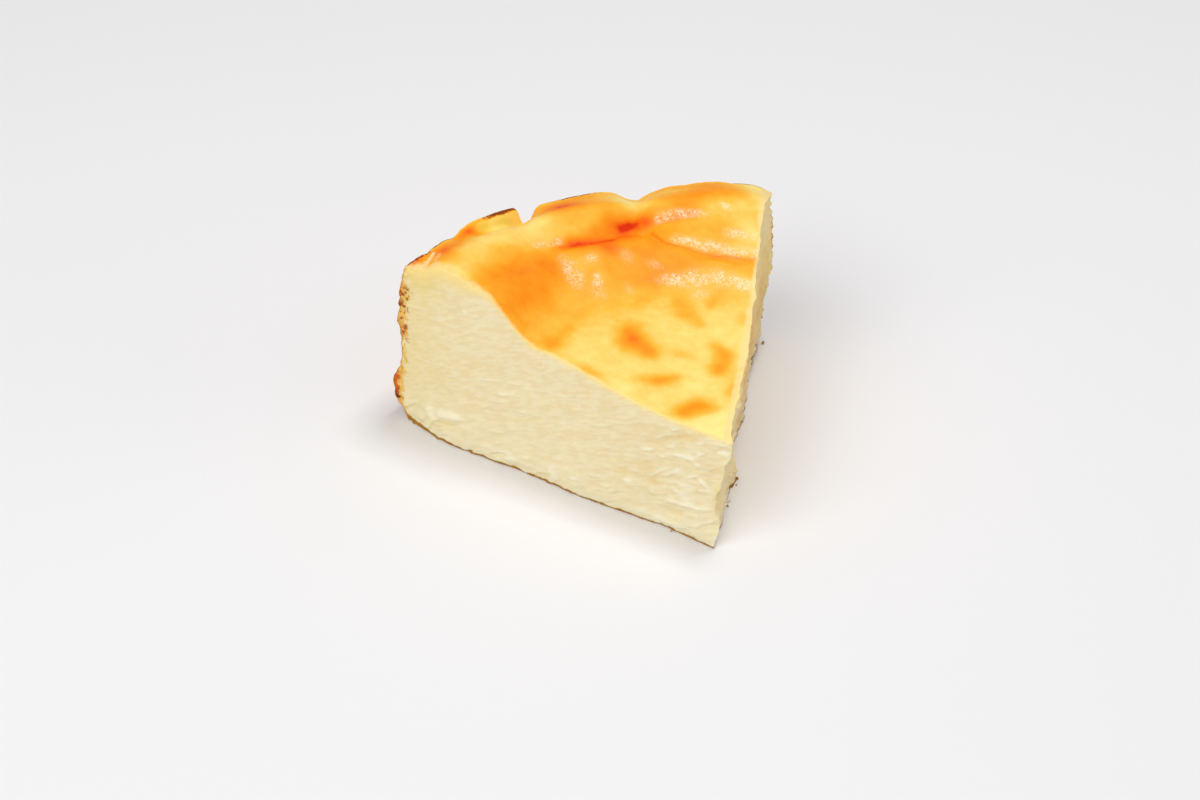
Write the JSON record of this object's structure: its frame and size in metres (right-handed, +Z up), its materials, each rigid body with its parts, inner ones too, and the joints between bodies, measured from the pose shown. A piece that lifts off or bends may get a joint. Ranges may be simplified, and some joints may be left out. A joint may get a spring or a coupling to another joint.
{
  "type": "basque burnt cheesecake slice",
  "caption": "Wedge of crustless baked cheesecake with a browned wrinkled top, pale cut faces and a pleated paper-baked outer wall, low at its tip and puffed at its rim.",
  "frame": {"origin": "under the middle of the slice's bounding box, on its flat base", "axes": "+X across the slice towards its right cut as seen from the tip, +Y from the tip to the outer wall, +Z up"},
  "size_m": [0.1028, 0.095, 0.0483],
  "materials": {
    "baked_cheese": "moist pale baked cheese on the cuts, browned skin with a soft gloss on the top"
  },
  "bodies": {
    "root": {"cheesecake_slice": "baked_cheese"}
  },
  "joints": []
}
